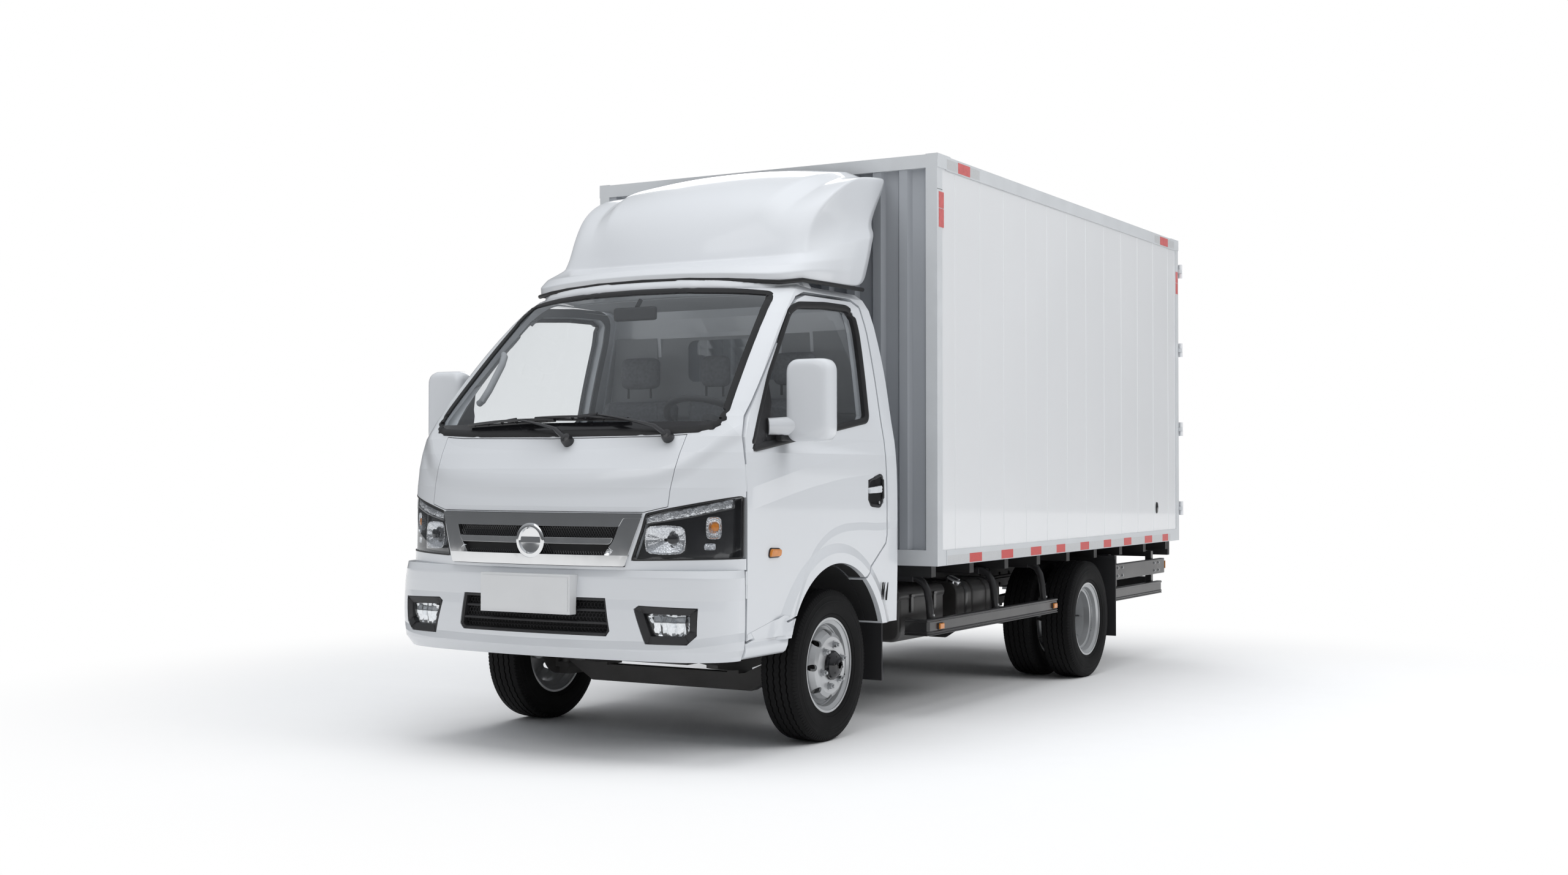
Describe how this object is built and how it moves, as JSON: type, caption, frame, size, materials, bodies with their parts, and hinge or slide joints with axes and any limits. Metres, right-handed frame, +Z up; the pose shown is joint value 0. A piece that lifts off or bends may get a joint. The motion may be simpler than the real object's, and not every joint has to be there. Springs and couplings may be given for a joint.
{
  "type": "light refrigerated box truck",
  "caption": "Forward-control light box truck with a single cab, roof air deflector, insulated cargo box with hinged rear doors and twin rear wheels.",
  "frame": {"origin": "on the ground under the centre of the whole truck", "axes": "+Z up, +Y towards the rear of the truck, +X towards the truck's left side"},
  "size_m": [2.19, 5.692, 2.712],
  "materials": {
    "cab_paint": "gloss",
    "box_paint": "gloss",
    "box_metal": "satin",
    "chassis_black": "satin",
    "black_plastic": "matte",
    "rim_silver": "satin",
    "tyre_rubber": "matte",
    "chrome_trim": "polished",
    "lamp_glass": "polished",
    "lamp_red": "gloss",
    "window_glass": "polished",
    "cast_metal": "rough",
    "zinc_rods": "satin",
    "seat_fabric": "matte",
    "dash_plastic": "matte",
    "plate_paint": "gloss",
    "floor_wood": "satin"
  },
  "bodies": {
    "truck_body": {"chassis_frame": "chassis_black", "box_bearers": "chassis_black", "front_axle": "cast_metal", "leaf_springs": "cast_metal", "rear_axle": "cast_metal", "engine_block": "cast_metal", "drive_shaft": "cast_metal", "cab_shell": "cab_paint", "front_panel": "cab_paint", "grille": "chrome_trim", "headlamps": "lamp_glass", "cab_glass": "window_glass", "bumper": "cab_paint", "lower_grille": "black_plastic", "fog_lamps": "black_plastic", "roof_deflector": "cab_paint", "box_frame": "box_metal", "box_floor": "floor_wood", "box_roof": "box_paint", "box_left_wall": "box_paint", "box_right_wall": "box_paint", "box_front_wall": "box_metal", "fuel_tank": "chassis_black", "battery_box": "black_plastic", "exhaust": "cast_metal", "side_guards": "chassis_black", "mud_flaps": "black_plastic", "marker_lamps": "lamp_red", "number_plates": "plate_paint", "dashboard": "dash_plastic", "seats": "seat_fabric", "wipers": "black_plastic"},
    "left_steer": {"left_knuckle": "cast_metal"},
    "right_steer": {"right_knuckle": "cast_metal"},
    "tie_rod_body": {"tie_rod": "cast_metal"},
    "front_left_wheel": {"front_left_tyre": "tyre_rubber", "front_left_rim": "rim_silver"},
    "front_right_wheel": {"front_right_tyre": "tyre_rubber", "front_right_rim": "rim_silver"},
    "rear_left_wheels": {"rear_left_tyres": "tyre_rubber", "rear_left_rims": "rim_silver"},
    "rear_right_wheels": {"rear_right_tyres": "tyre_rubber", "rear_right_rims": "rim_silver"},
    "left_cab_door": {"left_door": "cab_paint", "left_door_glass": "window_glass", "left_mirror": "cab_paint"},
    "right_cab_door": {"right_door": "cab_paint", "right_door_glass": "window_glass", "right_mirror": "cab_paint"},
    "left_box_door": {"left_rear_door": "box_paint", "left_lock_rods": "zinc_rods"},
    "right_box_door": {"right_rear_door": "box_paint", "right_lock_rods": "zinc_rods"},
    "hand_wheel": {"steering_wheel": "black_plastic"}
  },
  "joints": [
    {"name": "steer_left", "type": "hinge", "parent": "truck_body", "child": "left_steer", "pos_m": [0.61, -1.736, 0.335], "axis": [0, 0, 1], "range_deg": [-35, 35]},
    {"name": "steer_right", "type": "hinge", "parent": "truck_body", "child": "right_steer", "pos_m": [-0.61, -1.736, 0.335], "axis": [0, 0, 1], "range_deg": [-35, 35]},
    {"name": "tie_rod_pin", "type": "hinge", "parent": "left_steer", "child": "tie_rod_body", "pos_m": [0.574, -1.586, 0.205], "axis": [0, 0, 1], "range_deg": [-35, 35]},
    {"name": "hand_wheel_turn", "type": "hinge", "parent": "truck_body", "child": "hand_wheel", "pos_m": [0.44, -2.096, 1.4], "axis": [0, 0.5, 0.866], "range_deg": [-560, 560]},
    {"name": "front_left_roll", "type": "hinge", "parent": "left_steer", "child": "front_left_wheel", "pos_m": [0.748, -1.736, 0.335], "axis": [1, 0, 0], "continuous": true},
    {"name": "front_right_roll", "type": "hinge", "parent": "right_steer", "child": "front_right_wheel", "pos_m": [-0.748, -1.736, 0.335], "axis": [1, 0, 0], "continuous": true},
    {"name": "rear_left_roll", "type": "hinge", "parent": "truck_body", "child": "rear_left_wheels", "pos_m": [0.757, 1.17, 0.335], "axis": [1, 0, 0], "continuous": true},
    {"name": "rear_right_roll", "type": "hinge", "parent": "truck_body", "child": "rear_right_wheels", "pos_m": [-0.757, 1.17, 0.335], "axis": [1, 0, 0], "continuous": true},
    {"name": "left_cab_door_hinge", "type": "hinge", "parent": "truck_body", "child": "left_cab_door", "pos_m": [0.8552, -2.49861, 0.9], "axis": [0, 0, -1], "range_deg": [0, 65]},
    {"name": "right_cab_door_hinge", "type": "hinge", "parent": "truck_body", "child": "right_cab_door", "pos_m": [-0.8552, -2.49861, 0.9], "axis": [0, 0, 1], "range_deg": [0, 65]},
    {"name": "left_box_door_hinge", "type": "hinge", "parent": "truck_body", "child": "left_box_door", "pos_m": [1, 2.809, 1.7], "axis": [0, 0, -1], "range_deg": [0, 250]},
    {"name": "right_box_door_hinge", "type": "hinge", "parent": "truck_body", "child": "right_box_door", "pos_m": [-1, 2.809, 1.7], "axis": [0, 0, 1], "range_deg": [0, 250]}
  ],
  "couplings": [
    {"joint": "steer_right", "follows": "steer_left", "ratio": 1},
    {"joint": "tie_rod_pin", "follows": "steer_left", "ratio": -1},
    {"joint": "hand_wheel_turn", "follows": "steer_left", "ratio": 16}
  ]
}
